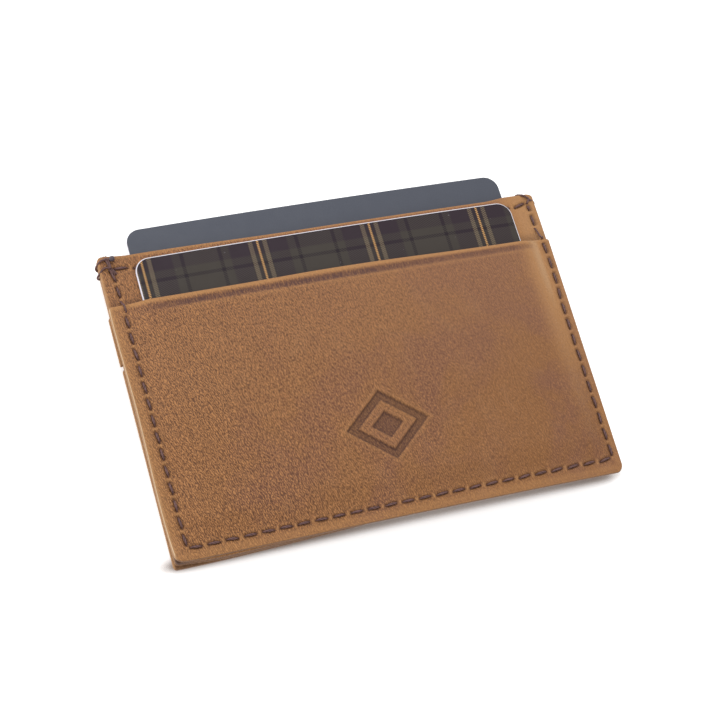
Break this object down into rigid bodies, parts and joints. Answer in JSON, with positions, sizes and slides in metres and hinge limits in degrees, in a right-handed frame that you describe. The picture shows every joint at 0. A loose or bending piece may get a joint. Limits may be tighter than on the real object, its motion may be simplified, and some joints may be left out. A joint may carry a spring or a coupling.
{
  "type": "card holder wallet",
  "caption": "Slim stitched leather card holder with a front pocket, two stepped back pockets and a sliding card in each upper pocket.",
  "frame": {"origin": "middle of the flat outer face of the lower back pocket, on which the holder rests", "axes": "+X along the width, +Y towards the pocket mouths, +Z out of the front face"},
  "size_m": [0.0994, 0.0738, 0.0067],
  "materials": {
    "leather": "waxed pull-up leather, tan brown, soft sheen",
    "thread": "waxed twisted thread, dark purple brown",
    "card_core": "white card stock seen at the edge",
    "check_print": "satin film with a dark green, purple and cream check",
    "slate_film": "satin slate grey film"
  },
  "bodies": {
    "holder": {"front_pocket_panel": "leather", "centre_front_panel": "leather", "centre_back_panel": "leather", "back_upper_pocket_panel": "leather", "back_lower_pocket_panel": "leather", "perimeter_seam_thread": "thread", "top_seam_thread": "thread", "upper_pocket_seam_thread": "thread"},
    "front_card": {"front_card_back_film": "check_print", "front_card_core": "card_core", "front_card_face_film": "check_print"},
    "back_card": {"back_card_back_film": "slate_film", "back_card_core": "card_core", "back_card_face_film": "slate_film"}
  },
  "joints": [
    {"name": "front_card_slide", "type": "slide", "parent": "holder", "child": "front_card", "axis": [0, 1, 0], "range_m": [-0.0065, 0.0443]},
    {"name": "back_card_slide", "type": "slide", "parent": "holder", "child": "back_card", "axis": [0, 1, 0], "range_m": [-0.0062, 0.0352]}
  ]
}
